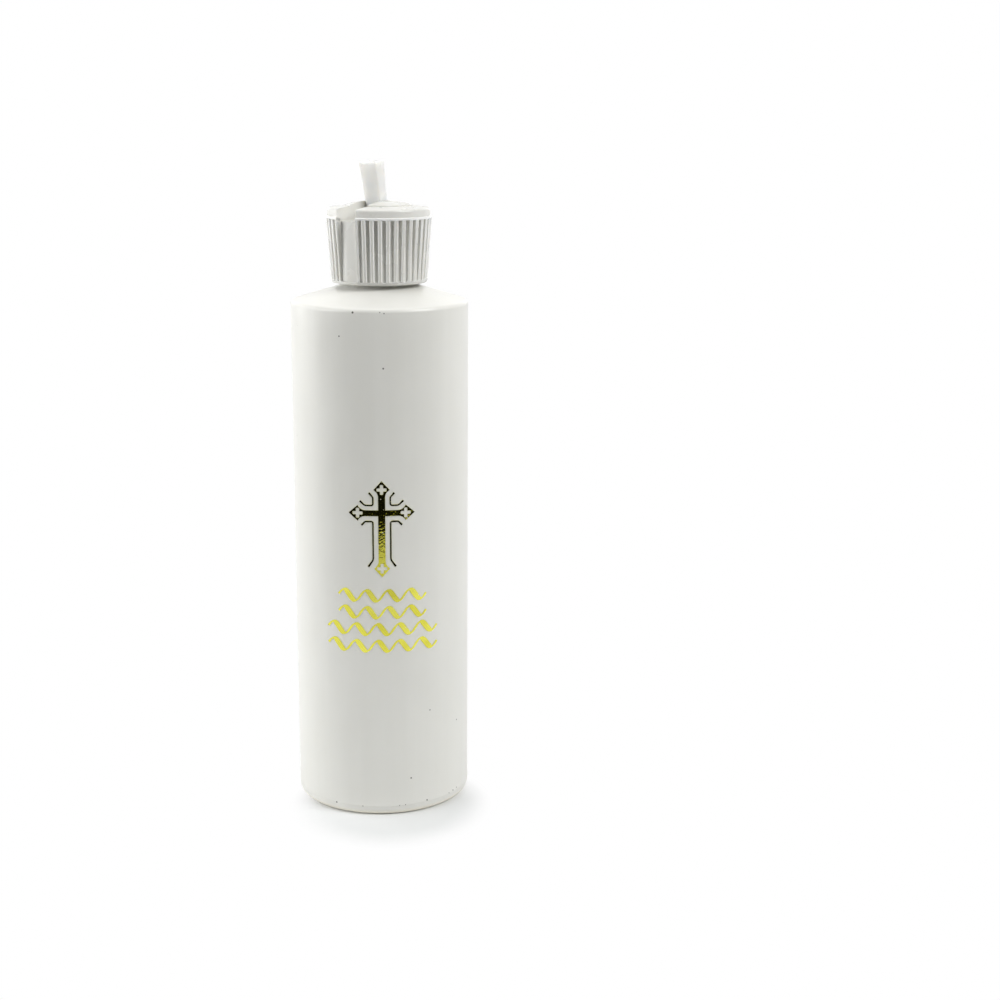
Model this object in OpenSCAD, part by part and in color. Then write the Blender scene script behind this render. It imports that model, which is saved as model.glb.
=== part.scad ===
// Squeeze bottle with a screw cap and a flip spout. Millimetres, standing on z = 0.
// +Z is up, the printed cross faces -Y, and the spout folds down towards the front left.

/* [Bottle] */
// Outside diameter of the body
body_d = 50; // [46:0.5:58]
// Height of the shoulder edge above the table
side_h = 145.4; // [120:0.2:170]
// Rise of the shoulder from its edge to the foot of the neck
shoulder_rise = 4; // [3:0.1:8]
// Thickness of the blown wall
wall = 1; // [0.8:0.1:1.6]
// Rounding of the heel
heel_r = 1.8; // [1.4:0.1:3]
// Rounding of the shoulder edge
edge_r = 1.3; // [0.8:0.1:2.5]
// Depth of the hollow under the base
push_up = 3; // [1.5:0.1:5]
// Width of the flat ring that stands on the table
foot_w = 3.2; // [2:0.1:5]

/* [Neck finish] */
// Diameter over the neck thread
thread_d = 23.7; // [23.4:0.05:24]
// Diameter of the neck between the threads
neck_d = 21.6; // [21.3:0.05:21.9]
// Bore of the neck
neck_bore = 17.4; // [15:0.1:18]
// Height of the neck above the shoulder
finish_h = 16.7; // [15.7:0.1:17.7]
// Rise of the thread in one turn
thread_pitch = 3.175; // [3:0.005:3.3]
// Turns of thread on the neck and in the cap
thread_turns = 1.5; // [1:0.1:1.8]
// Width of a thread at its root
thread_w = 1.7; // [1.4:0.05:1.9]
// Gap between the flanks that pull the cap down
flank_gap = 0.22; // [0.15:0.01:0.4]
// Gap between a thread's crest and the wall it faces
crest_gap = 0.3; // [0.2:0.05:0.5]

/* [Neck seal] */
// Thickness of the sealing washer
seal_t = 0.6; // [0.4:0.05:1]
// Outside diameter of the sealing washer
seal_od = 22.2; // [21.5:0.1:23]
// Hole of the sealing washer
seal_id = 17.8; // [15:0.1:18.4]

/* [Cap] */
// Gap from the shoulder up to the skirt
skirt_gap = 1.2; // [0.8:0.1:2.5]
// Diameter over the ribs at the bottom of the skirt
rib_d_low = 27.1; // [26.8:0.1:28]
// Diameter over the ribs at their top
rib_d_top = 29.7; // [29.2:0.1:31]
// Diameter of the smooth band above the ribs
band_d = 28.8; // [28:0.1:29.2]
// Number of ribs round the skirt
rib_n = 40; // [30:1:44]
// Width of a groove between two ribs
groove_w = 1.1; // [0.9:0.05:1.5]
// Depth of a groove at its lower end
groove_depth = 0.5; // [0.3:0.05:0.6]
// Depth gained up to a groove's upper end
groove_deepen = 0.75; // [0:0.05:0.9]
// Height of the rib tops above the deck
ledge_up = 2.3; // [1.8:0.1:3]
// Height of the band's top above the deck
band_up = 4.5; // [4:0.1:5]
// Rise of the crown from the band to the middle disc
crown_rise = 0.6; // [0.2:0.1:1]
// Diameter of the raised middle disc
disc_d = 18; // [14:0.5:20]
// Height of the step round the middle disc
disc_step = 0.35; // [0.2:0.05:0.6]
// Rise of the disc to its middle
dome_rise = 1; // [0.8:0.1:1.6]
// Thickness of the channel's floor over the deck
floor_t = 1.5; // [1.2:0.1:1.7]
// Fall of the channel's floor towards its mouth, in degrees
floor_dip = 2; // [1.5:0.1:2.5]
// Distance of the thumb notch's flat from the axis
notch_at = 12.8; // [12.7:0.05:13.2]
// Width of the thumb notch
notch_w = 6; // [5:0.1:6.1]
// Direction of the channel, to the left of the printed front
channel_turn = 39.5; // [0:0.5:90]

/* [Spout] */
// Length of the spout from its pivot
spout_l = 13.8; // [11:0.1:14]
// Width of the spout at its drum
spout_w = 5.2; // [4.6:0.1:5.6]
// Width gained up to the tip
spout_flare = 1; // [0:0.1:1.2]
// Thickness of the spout at its drum
spout_t = 3.3; // [3.1:0.1:3.5]
// Thickness gained up to the tip
spout_thicken = 0.75; // [0.2:0.05:0.8]
// Distance that the back comes forward up to the tip
spout_forward = 0.25; // [0:0.05:0.3]
// Radius of the drum that turns in the cap
drum_r = 2.1; // [2:0.05:2.2]
// Distance of the pivot from the axis, towards the channel
pivot_at = 1; // [0.5:0.1:1.5]
// Height of the pivot above the deck
pivot_up = 3.5; // [3.3:0.05:3.7]
// Lean of the spout from upright, towards the channel
spout_lean = 8; // [0:1:20]
// Radius of the two pivot pins
pin_r = 0.8; // [0.6:0.05:1]
// Length of a pivot pin beside the drum
pin_l = 0.9; // [0.6:0.1:1.2]
// Gap round a pivot pin
pin_gap = 0.05; // [0.03:0.01:0.08]
// Gap round the drum
drum_gap = 0.1; // [0.08:0.01:0.1]
// Gap beside the spout in its channel
side_gap = 0.3; // [0.25:0.05:0.4]
// Diameter of the passage to the tip
outlet_d = 2; // [1.4:0.1:2.1]

/* [Printed foil] */
// Thickness of the foil
foil_t = 0.1; // [0.06:0.01:0.2]
// Height of the cross's middle above the table
cross_z = 89.3; // [80:0.5:110]
// Height of the printed cross
cross_h = 27.35; // [20:0.05:32]
// Width of the border strokes
border_w = 0.42; // [0.3:0.02:0.6]
// Height of the uppermost wave's middle above the table
wave_z = 65.6; // [62:0.2:67]
// Distance from one wave down to the next
wave_drop = 4.9; // [4.4:0.1:5.6]
// Height of a wave from trough to crest
wave_h = 3; // [2:0.1:3.2]
// Length of one wave
wave_l = 6.1; // [5.8:0.1:6.4]
// Broadest stroke of a wave
wave_w = 1.5; // [0.8:0.1:1.6]

/* [Hidden] */
$fn = 96;
body_r = body_d / 2;
neck_r = neck_d / 2;
bore_r = neck_bore / 2;
crest_r = thread_d / 2;
neck_foot = side_h + shoulder_rise;
neck_top = neck_foot + finish_h;
deck_z = neck_top + seal_t;
skirt_z = neck_foot + skirt_gap;
cap_wall_r = crest_r + crest_gap;
cap_crest_r = neck_r + crest_gap;
rib_low_z = skirt_z + 0.8;
ledge_z = deck_z + ledge_up;
band_z = deck_z + band_up;
crown_z = band_z + crown_rise;
disc_z = crown_z + disc_step;
dome_z = disc_z + dome_rise;
floor_z = deck_z + floor_t;
pivot_z = deck_z + pivot_up;
band_r = band_d / 2;
disc_r = disc_d / 2;
channel_dir = -90 - channel_turn;
channel_w = spout_w + 2 * side_gap;
spout_back = -drum_r + 0.05;
outlet_at = spout_back + spout_t / 2;
root_sink = 0.3;
thread_depth = crest_r - neck_r;
flank_slope = 0.43;
tip_w = thread_w - 2 * flank_slope * thread_depth;
thread_low = neck_top - 2.2 - thread_pitch * thread_turns;
thread_drop = thread_w - flank_slope * (thread_depth + crest_gap) + flank_gap;
drawn_cross_h = 27.35;
cross_scale = cross_h / drawn_cross_h;

// Plane helpers
function unit(v) = v / norm(v);
function blend(v0, v1, sweep, t) =
    (sin((1 - t) * sweep) * v0 + sin(t * sweep) * v1) / sin(sweep);
function arc_at(before, at, after, r, steps) =
    let (
        a = unit(before - at),
        b = unit(after - at),
        half = acos(a * b) / 2,
        centre = at + unit(a + b) * (r / sin(half)),
        v0 = at + a * (r / tan(half)) - centre,
        v1 = at + b * (r / tan(half)) - centre
    )
    [for (i = [0:steps]) centre + blend(v0, v1, 180 - 2 * half, i / steps)];
function flat(p) = [p[0], p[1]];
// Corners are [x, y, rounding]; a rounding of 0 keeps the corner sharp.
function rounded(p, steps = 6) = [
    for (i = [0:len(p) - 1])
        let (before = flat(p[(i + len(p) - 1) % len(p)]), after = flat(p[(i + 1) % len(p)]))
            each p[i][2] > 0 ? arc_at(before, flat(p[i]), after, p[i][2], steps) : [flat(p[i])]
];

// One turn-on-turn thread, sunk at its root and fading out at both ends
module helix_rib(root, tip, low, from, turns) {
    steps = round(turns * 36);
    sections = [
        for (i = [0:steps])
            let (
                grow = max(0.2, min(1, i / 5, (steps - i) / 5)),
                top = root + (tip - root) * grow,
                inner = root[0] < top[0] ? root : top,
                outer = root[0] < top[0] ? top : root,
                a = from + 360 * turns * i / steps,
                z = low + thread_pitch * (from + 360 * turns * i / steps) / 360
            )
                each [
                    [inner[0] * cos(a), inner[0] * sin(a), z - inner[1] / 2],
                    [outer[0] * cos(a), outer[0] * sin(a), z - outer[1] / 2],
                    [outer[0] * cos(a), outer[0] * sin(a), z + outer[1] / 2],
                    [inner[0] * cos(a), inner[0] * sin(a), z + inner[1] / 2]
                ]
    ];
    last = 4 * steps;
    sides = [
        for (i = [0:steps - 1], j = [0:3])
            let (a = 4 * i + j, b = 4 * i + (j + 1) % 4)
                each [[a, b, b + 4], [a, b + 4, a + 4]]
    ];
    ends = [[3, 2, 1], [3, 1, 0], [last, last + 1, last + 2], [last, last + 2, last + 3]];
    polyhedron(points = sections, faces = concat(sides, ends), convexity = 6);
}

// The blown body with its neck
module bottle_shell() {
    foot_in = body_r - heel_r - foot_w;
    in_r = body_r - wall;
    slope = atan(shoulder_rise / (body_r - crest_r));
    drop = wall / cos(slope);
    in_edge = side_h - drop + wall * tan(slope);
    in_neck = in_edge + (in_r - bore_r) * tan(slope);
    out_neck = side_h + (body_r - neck_r) * tan(slope);
    profile = [
        [0, push_up, 0],
        [foot_in - 5, push_up, 6],
        [foot_in, 0, 0.8],
        [body_r, 0, heel_r],
        [body_r, side_h, edge_r],
        [neck_r, out_neck, 1.2],
        [neck_r, neck_top, 0.5],
        [bore_r, neck_top, 0.4],
        [bore_r, in_neck, 1.5],
        [in_r, in_edge, 1],
        [in_r, wall, 1.2],
        [foot_in + 0.5, wall, 0.8],
        [foot_in - 4.6, push_up + wall, 5],
        [0, push_up + wall, 0]
    ];
    rotate_extrude() polygon(rounded(profile));
}

module bottle() {
    color([0.9, 0.9, 0.88]) union() {
        bottle_shell();
        helix_rib(
            [neck_r - root_sink, thread_w + 2 * flank_slope * root_sink],
            [crest_r, tip_w],
            thread_low, 0, thread_turns
        );
    }
}

module neck_seal() {
    color([0.95, 0.95, 0.92]) translate([0, 0, neck_top]) difference() {
        cylinder(h = seal_t, d = seal_od);
        translate([0, 0, -1]) cylinder(h = seal_t + 2, d = seal_id);
    }
}

// Everything of the cap and spout is drawn with the channel along +X, then turned to its direction.
module to_channel() {
    rotate([0, 0, channel_dir]) children();
}

module cap_blank() {
    dome_ball = (disc_r * disc_r + dome_rise * dome_rise) / (2 * dome_rise);
    dome_half = asin(disc_r / dome_ball);
    dome = [
        for (i = [0:8])
            let (a = dome_half * (1 - i / 8))
                [dome_ball * sin(a), dome_z - dome_ball * (1 - cos(a)), 0]
    ];
    outline = concat(
        [
            [0, skirt_z, 0],
            [rib_d_low / 2 - 0.25, skirt_z, 0.2],
            [rib_d_low / 2, rib_low_z - 0.2, 0],
            [rib_d_top / 2, ledge_z - 0.15, 0.12],
            [rib_d_top / 2 - 0.1, ledge_z, 0],
            [band_r, ledge_z, 0],
            [band_r, band_z, 0.7],
            [disc_r, crown_z, 0]
        ],
        dome
    );
    difference() {
        rotate_extrude() polygon(rounded(outline));
        translate([0, 0, skirt_z - 1]) cylinder(h = deck_z - skirt_z + 1, r = cap_wall_r);
        translate([0, 0, skirt_z - 0.01]) cylinder(h = 0.5, r1 = cap_wall_r + 0.5, r2 = cap_wall_r);
    }
}

// Groove between two ribs, round at its lower end and square at its upper end
module groove() {
    low = rib_low_z;
    high = ledge_z - 0.65;
    spread = (rib_d_top - rib_d_low) / 2 - groove_deepen;
    tilt = atan(spread / (ledge_z - rib_low_z));
    long = (high - low) / cos(tilt) - groove_w;
    mid_r = rib_d_low / 2 - groove_depth + spread / 2;
    translate([mid_r, 0, (low + high) / 2]) rotate([0, tilt, 0]) rotate([90, 0, 90]) linear_extrude(4) {
        translate([-groove_w / 2, -long / 2]) square([groove_w, long + groove_w / 2]);
        translate([0, -long / 2]) circle(d = groove_w, $fn = 24);
    }
}

// Thumb notch under the tip, between two ribs
module notch() {
    translate([notch_at, -notch_w / 2, rib_low_z]) cube([6, notch_w, floor_z - rib_low_z + 1]);
}

// Channel that the spout folds into, and the seat of its drum
module channel() {
    near_w = channel_w / 2;
    far = band_r + 4 - pivot_at;
    far_w = near_w + spout_flare / 2 * far / (band_r - pivot_at);
    back = pivot_at - drum_r - 0.3;
    back_w = channel_w - 0.2;
    seat_w = spout_w + 0.2;
    translate([pivot_at, 0, floor_z]) rotate([0, floor_dip, 0]) linear_extrude(20)
        polygon([[0, -near_w], [far, -far_w], [far, far_w], [0, near_w]]);
    translate([back, -back_w / 2, pivot_z]) cube([pivot_at - back + 1, back_w, 20]);
    translate([pivot_at, seat_w / 2, pivot_z]) rotate([90, 0, 0]) cylinder(h = seat_w, r = drum_r + drum_gap);
}

module pivot_holes() {
    deep = spout_w / 2 + pin_l + 0.1;
    translate([pivot_at, deep, pivot_z]) rotate([90, 0, 0])
        cylinder(h = 2 * deep, r = pin_r + pin_gap, $fn = 48);
}

// Orifice under the drum, in line with the passage when the spout stands upright
module orifice() {
    translate([pivot_at + outlet_at, 0, deck_z - 1])
        cylinder(h = pivot_z - deck_z + 1, d = outlet_d, $fn = 48);
}

// Hollows under the deck beside the channel, so that the deck has an even wall
module core_pockets() {
    hollow_r = seal_id / 2 - 0.5;
    inner = channel_w / 2 + pin_l + 1;
    roof = crown_z - 1.3;
    for (side = [0, 180])
        rotate([0, 0, side]) intersection() {
            translate([0, 0, deck_z - 1]) cylinder(h = roof - deck_z + 1, r = hollow_r);
            translate([-hollow_r, inner, deck_z - 2]) cube([2 * hollow_r, hollow_r, 20]);
        }
}

module cap() {
    pitch_deg = 360 / rib_n;
    taken = asin(notch_w / 2 / notch_at) + asin(groove_w / 2 / notch_at);
    first = ceil((taken + 1) / pitch_deg);
    color([0.93, 0.93, 0.91]) union() {
        to_channel() difference() {
            cap_blank();
            for (k = [first:rib_n - first]) rotate([0, 0, k * pitch_deg]) groove();
            notch();
            channel();
            pivot_holes();
            orifice();
            core_pockets();
        }
        helix_rib(
            [cap_wall_r + root_sink, thread_w + 2 * flank_slope * root_sink],
            [cap_crest_r, tip_w],
            thread_low - thread_drop, -180, thread_turns
        );
    }
}

// Slab of the spout's section at one distance from the pivot
module spout_section(at, w, t, back) {
    soft = 0.5;
    crisp = 0.4;
    for (side = [-1, 1]) {
        translate([back + crisp, side * (w / 2 - crisp), at]) cylinder(h = 0.02, r = crisp, $fn = 24);
        translate([back + t - soft, side * (w / 2 - soft), at]) cylinder(h = 0.02, r = soft, $fn = 24);
    }
}

module spout() {
    tip_back = spout_back + spout_forward;
    color([0.95, 0.94, 0.91]) to_channel() translate([pivot_at, 0, pivot_z]) rotate([0, spout_lean, 0])
        difference() {
            union() {
                hull() {
                    spout_section(0, spout_w, spout_t, spout_back);
                    spout_section(spout_l - 0.02, spout_w + spout_flare, spout_t + spout_thicken, tip_back);
                }
                translate([0, spout_w / 2, 0]) rotate([90, 0, 0]) cylinder(h = spout_w, r = drum_r);
                translate([0, spout_w / 2 + pin_l, 0]) rotate([90, 0, 0])
                    cylinder(h = spout_w + 2 * pin_l, r = pin_r, $fn = 48);
            }
            translate([outlet_at, 0, -drum_r - 1])
                cylinder(h = spout_l + drum_r + 2, d = outlet_d, $fn = 48);
        }
}

// Foil lies on the front of the body: a flat drawing in X and Z, cut out of a thin tube.
module on_body(z) {
    color([0.8, 0.62, 0.2]) intersection() {
        translate([0, 0, z]) rotate([90, 0, 0]) linear_extrude(body_d) children();
        translate([0, 0, z - 40]) difference() {
            cylinder(h = 80, r = body_r + foil_t, $fn = 180);
            translate([0, 0, -1]) cylinder(h = 82, r = body_r, $fn = 180);
        }
    }
}

function turned(p, a) = [for (q = p) [q[0] * cos(a) - q[1] * sin(a), q[0] * sin(a) + q[1] * cos(a)]];
// Lozenge end of an arm that lies along +X, with hollow flares into the arm
function arm_end(reach, half) =
    let (side = [
        [reach - 4.35, half],
        [reach - 3.8, half + 0.12],
        [reach - 3.3, half + 0.38],
        [reach - 2.85, half + 0.78],
        [reach - 2.46, 2.2]
    ])
    concat([for (q = side) [q[0], -q[1]]], [[reach, 0]], [for (i = [4:-1:0]) side[i]]);

module little_cross() {
    reach = 1.42;
    half = 0.47;
    corners = [
        for (a = [0:90:270])
            each [for (q = turned([[reach, -half], [reach, half], [half, half]], a)) q]
    ];
    polygon(rounded([for (i = [0:11]) [corners[i][0], corners[i][1], i % 3 == 2 ? 0 : 0.3]], 4));
}

module foil_cross() {
    stem = 0.97;
    arm = 0.82;
    side = 9.12;
    top = 9.05;
    foot = drawn_cross_h - top;
    inset = 2.46;
    outline = concat(
        arm_end(side, arm), [[stem, arm]],
        turned(arm_end(top, stem), 90), [[-stem, arm]],
        turned(arm_end(side, arm), 180), [[-stem, -arm]],
        turned(arm_end(foot, stem), 270), [[stem, -arm]]
    );
    on_body(cross_z) scale(cross_scale) difference() {
        polygon(outline);
        for (at = [[side - inset, 0], [inset - side, 0], [0, top - inset], [0, inset - foot]])
            translate(at) little_cross();
    }
}

// Outline of a stroke along a path of [x, y, width]
function stroke(p) =
    let (
        last = len(p) - 1,
        dirs = [for (i = [0:last]) unit(flat(p[min(i + 1, last)]) - flat(p[max(i - 1, 0)]))],
        left = [for (i = [0:last]) flat(p[i]) + [-dirs[i][1], dirs[i][0]] * p[i][2] / 2],
        right = [for (i = [last:-1:0]) flat(p[i]) - [-dirs[i][1], dirs[i][0]] * p[i][2] / 2]
    )
    concat(left, right);
// Even width, opening out a little at both ends
function flared(p, w) = [
    for (i = [0:len(p) - 1]) [p[i][0], p[i][1], i == 0 || i == len(p) - 1 ? 1.35 * w : w]
];

module foil_border() {
    upper = [[3.5, 5.75, 0], [2.4, 4.5, 0.9], [2.4, 2.2, 0.5], [4.7, 2.2, 1.2], [6, 3.45, 0]];
    lower = [[5.6, -3.45, 0], [4.6, -2.35, 0.9], [2.45, -2.35, 0.5], [2.45, -13.3, 1.6], [3.8, -15.25, 0]];
    on_body(cross_z) for (half = [0, 1]) mirror([half, 0])
        for (path = [upper, lower]) polygon(stroke(flared(rounded(cross_scale * path, 4), border_w)));
}

// One wave of water, drawn as with a broad pen held at a slant
function wave(crests) =
    let (steps = 16 * crests, pen = 35)
    [
        for (i = [0:steps])
            let (
                a = 360 * crests * i / steps,
                x = wave_l * crests * (i / steps - 0.5),
                rise = atan2(wave_h / 2 * cos(a) * 2 * PI / wave_l, 1),
                w = 0.45 + (wave_w - 0.45) * pow(sin(rise - pen), 2)
            )
                [x, wave_h / 2 * sin(a), w]
    ];

module foil_waves() {
    on_body(wave_z) for (row = [0:3])
        translate([0, -wave_drop * row]) polygon(stroke(wave(row < 2 ? 4 : 5)));
}

bottle();
neck_seal();
cap();
spout();
foil_cross();
foil_border();
foil_waves();
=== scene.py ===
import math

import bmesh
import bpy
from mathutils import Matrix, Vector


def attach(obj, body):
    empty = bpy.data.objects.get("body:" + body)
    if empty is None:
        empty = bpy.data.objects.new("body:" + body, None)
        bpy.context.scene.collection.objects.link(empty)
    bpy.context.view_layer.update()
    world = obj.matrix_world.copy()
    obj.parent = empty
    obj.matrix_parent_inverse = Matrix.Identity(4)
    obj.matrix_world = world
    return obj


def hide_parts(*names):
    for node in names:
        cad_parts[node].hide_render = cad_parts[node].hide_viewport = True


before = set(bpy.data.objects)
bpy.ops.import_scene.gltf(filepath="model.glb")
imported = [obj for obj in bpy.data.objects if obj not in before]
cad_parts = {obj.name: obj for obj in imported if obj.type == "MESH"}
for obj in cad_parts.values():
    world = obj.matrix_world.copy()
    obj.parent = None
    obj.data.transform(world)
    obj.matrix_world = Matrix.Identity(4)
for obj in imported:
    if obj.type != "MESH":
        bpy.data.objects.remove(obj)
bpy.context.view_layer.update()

# %% [markdown]
# A squeeze bottle with a flip spout
# The object is a white plastic bottle, a ribbed screw cap and a small spout that flips up out of the cap.
# A cross is stamped on the front in gold foil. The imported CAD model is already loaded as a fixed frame:
# it says where every piece is, in metres. Here the three plastic mouldings are made again with the small
# roundings and mould marks of the real ones, and everything gets its finish. The sizes of the object are
# in millimetres, as on a drawing, and MM turns them into metres at the last moment. The stage is in
# metres.

MM = 0.001
scene = bpy.context.scene

# %% [markdown]
# Camera
# The photograph was taken from a little above, from about half a metre away. A camera's matrix has three
# columns: where its right, its top and its back point to. A Track To constraint is quicker to write, but
# it keeps the camera level. Building the columns from three angles keeps the photograph's small roll.

# %% Camera
CAMERA_AT = Vector((0.0, -483.2, 198.7)) * MM
PITCH, YAW, ROLL = (math.radians(angle) for angle in (12.99, 4.08, 0.37))
LENS, SENSOR = 61.35, 36.0
ahead = Vector((math.sin(YAW) * math.cos(PITCH), math.cos(YAW) * math.cos(PITCH), -math.sin(PITCH)))
level = Vector((math.cos(YAW), -math.sin(YAW), 0))
upward = level.cross(ahead)
to_right = math.cos(ROLL) * level + math.sin(ROLL) * upward
to_top = -math.sin(ROLL) * level + math.cos(ROLL) * upward
aimed = Matrix((to_right, to_top, -ahead)).transposed().to_4x4()
camera = bpy.data.objects.new("camera", bpy.data.cameras.new("camera"))
camera.data.sensor_width = SENSOR
camera.data.lens = LENS
camera.matrix_world = Matrix.Translation(CAMERA_AT) @ aimed
scene.collection.objects.link(camera)
scene.camera = camera
print("camera at", tuple(round(x, 3) for x in camera.location))

# %% [markdown]
# A short way to write node trees
# Geometry, materials and world are all node trees here. Each could be wired line by line, but the wiring
# would hide the idea. So one small helper writes them all. It adds a node, fills its inputs with numbers
# or with the outputs of other nodes, and gives back what the next line needs. Nearly all of what a noise
# node gives lies between two values, so those are named here too.

# %% Node helper
NOISE_LOW, NOISE_HIGH = 0.3, 0.7


class Net:
    """Adds nodes to one tree and wires them."""

    def __init__(self, tree):
        self.tree = tree

    def add(self, kind, inputs=None, **settings):
        node = self.tree.nodes.new(kind)
        for name, value in settings.items():
            setattr(node, name, value)
        for key, value in (inputs or {}).items():
            self.feed(node.inputs[key], value)
        return node

    def feed(self, socket, value):
        if isinstance(value, bpy.types.NodeSocket):
            self.tree.links.new(value, socket)
        else:
            socket.default_value = value

    def math(self, operation, *values, clamp=False):
        node = self.add("ShaderNodeMath", dict(enumerate(values)), operation=operation, use_clamp=clamp)
        return node.outputs[0]

    def plus(self, first, second):
        return self.math("ADD", first, second)

    def minus(self, first, second):
        return self.math("SUBTRACT", first, second)

    def times(self, first, second):
        return self.math("MULTIPLY", first, second)

    def slant(self, first, second):
        """Length of the slant over two sides at a right angle."""
        return self.math("SQRT", self.plus(self.times(first, first), self.times(second, second)))

    def vector(self, x, y, z):
        return self.add("ShaderNodeCombineXYZ", {0: x, 1: y, 2: z}).outputs[0]

    def split(self, vector):
        return self.add("ShaderNodeSeparateXYZ", {0: vector}).outputs

    def round_axis(self, radius, turn, height):
        """The point at a radius, a turn and a height."""
        x = self.times(radius, self.math("COSINE", turn))
        y = self.times(radius, self.math("SINE", turn))
        return self.vector(x, y, height)

    def place(self):
        """Object coordinates, which stay on a piece when it moves."""
        return self.add("ShaderNodeTexCoord").outputs["Object"]

    def ramp(self, value, low, high, start=0.0, end=1.0):
        """Eases from start to end while the value goes from low to high."""
        inputs = {"Value": value, 1: low, 2: high, 3: start, 4: end}
        return self.add("ShaderNodeMapRange", inputs, interpolation_type="SMOOTHSTEP").outputs[0]

    def noise(self, vector, scale, detail=2.0):
        inputs = {"Vector": vector, "Scale": scale, "Detail": detail}
        return self.add("ShaderNodeTexNoise", inputs).outputs[0]

    def blend(self, factor, first, second):
        """Mixes two colours."""
        return self.add("ShaderNodeMix", {0: factor, 6: first, 7: second}, data_type="RGBA").outputs[2]

    def bump(self, depth, height, normal=None):
        """Light that falls as on a relief of this depth in millimetres."""
        inputs = {"Distance": depth * MM, "Height": height}
        if normal is not None:
            inputs["Normal"] = normal
        return self.add("ShaderNodeBump", inputs).outputs[0]


def rgb(red, green, blue):
    return (red, green, blue, 1.0)


print("node helper ready")

# %% [markdown]
# Floor, surround and light
# The bottle stands on a white table that runs into a white ground with no horizon. Strong lamps would
# whiten the table too, but they would bleach the bottle. So close to the bottle the table is lit paper
# that keeps the shadow. Further out it is plain white for the rays that the camera, reflections and glass
# send out, and adds no light to the object. Soft boxes above, at the sides and behind give the light, and
# a faint even background fills in. In front of the table lies a dark half ring for the dim room. The
# camera can't see it, but the gold foil mirrors it, and the table in that mirror dims towards its near
# edge.


# %% Stage helpers
def place_mesh(name, mesh):
    """An object in the scene that shows a mesh."""
    piece = bpy.data.objects.new(name, mesh)
    scene.collection.objects.link(piece)
    return piece


def level_piece(name, points, faces):
    """A flat piece of the stage."""
    mesh = bpy.data.meshes.new(name)
    mesh.from_pydata(points, [], faces)
    made = place_mesh(name, mesh)
    return made


def seen_rays(net):
    """1 for what the camera, a reflection or glass looks at, 0 for the light on surfaces."""
    path = net.add("ShaderNodeLightPath").outputs
    glossy = net.math("MAXIMUM", path["Is Glossy Ray"], path["Is Transmission Ray"])
    return net.math("MAXIMUM", path["Is Camera Ray"], glossy)


def stage_material(name):
    """A material with an empty tree."""
    material = bpy.data.materials.new(name)
    material.use_nodes = True
    material.node_tree.nodes.clear()
    return material, Net(material.node_tree)


print("stage helpers ready")

# %% Table
FLOOR_HALF = 3.0
PAPER = rgb(0.788, 0.80, 0.7984)
SHADOW_AT, SHADOW_NARROW = (0.002, -0.016), 1.1
SHADOW_FULL, SHADOW_GONE = 0.020, 0.033
DIM_FROM, DIM_TO, DIM_MOST = 0.15, 0.31, 0.36
corners = [(x * FLOOR_HALF, y * FLOOR_HALF, 0) for x, y in ((-1, -1), (1, -1), (1, 1), (-1, 1))]
floor = level_piece("floor", corners, [(0, 1, 2, 3)])
paper, net = stage_material("white_table")
x, y = net.split(net.place())[:2]
from_side = net.times(net.minus(x, SHADOW_AT[0]), SHADOW_NARROW)
away = net.slant(from_side, net.minus(y, SHADOW_AT[1]))
lit = net.add("ShaderNodeBsdfDiffuse", {"Color": PAPER}).outputs[0]
mirrored = net.add("ShaderNodeLightPath").outputs["Is Glossy Ray"]
dimmed = net.times(mirrored, net.ramp(net.times(y, -1.0), DIM_FROM, DIM_TO, 0.0, DIM_MOST))
blank = net.add("ShaderNodeEmission", {"Strength": net.minus(1.0, dimmed)}).outputs[0]
fade = net.times(seen_rays(net), net.ramp(away, SHADOW_FULL, SHADOW_GONE))
mixed = net.add("ShaderNodeMixShader", {0: fade, 1: lit, 2: blank}).outputs[0]
net.add("ShaderNodeOutputMaterial", {"Surface": mixed})
paper.cycles.emission_sampling = "NONE"
floor.data.materials.append(paper)
print("table", floor.name, "with", paper.name)

# %% Dark surround
TABLE_R, TABLE_MIDDLE = 0.342, 0.025
SURROUND_R, SURROUND_Z = 2.9, 0.0004
DARKNESS, DARK_CLOUDS = 0.012, 9.0
turns = [math.radians(angle) for angle in range(-175, 0, 5)]
count = len(turns)
edges = [
    (TABLE_MIDDLE + r * math.cos(a), r * math.sin(a), SURROUND_Z)
    for r in (TABLE_R, SURROUND_R)
    for a in turns
]
strips = [(i, count + i, count + i + 1, i + 1) for i in range(count - 1)]
surround = level_piece("dark_surround", edges, strips)
dark, net = stage_material("dark_room")
dim = net.times(net.noise(net.place(), DARK_CLOUDS), DARKNESS)
dull = net.add("ShaderNodeBsdfDiffuse", {"Color": net.vector(dim, dim, dim)}).outputs[0]
net.add("ShaderNodeOutputMaterial", {"Surface": dull})
surround.data.materials.append(dark)
surround.visible_camera = False
surround.visible_shadow = False
print("surround", surround.name, len(strips), "strips")

# %% Light
# Each soft box has its place, the point it faces, the length of its sides and its power in watts.
LAMPS = {
    "overhead_box": ((0.0, 0.12, 0.75), (0.0, 0.0, 0.15), 0.55, 1.9),
    "left_box": ((-0.62, 0.20, 0.30), (0.0, 0.0, 0.08), 0.5, 2.0),
    "near_left_box": ((-0.60, -0.22, 0.34), (0.0, 0.0, 0.08), 0.4, 2.3),
    "right_high_box": ((0.55, -0.30, 0.60), (0.0, 0.0, 0.12), 0.4, 4.9),
    "back_right_box": ((0.34, 0.66, 0.36), (0.0, 0.0, 0.09), 0.4, 0.4),
    "back_left_box": ((-0.34, 0.66, 0.36), (0.0, 0.0, 0.09), 0.4, 0.4),
}
FILL, FILL_COLOUR = 0.02, rgb(1.0, 0.995, 0.98)
WHITE = rgb(1.0, 1.0, 1.0)
world = bpy.data.worlds.new("white_ground")
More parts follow.
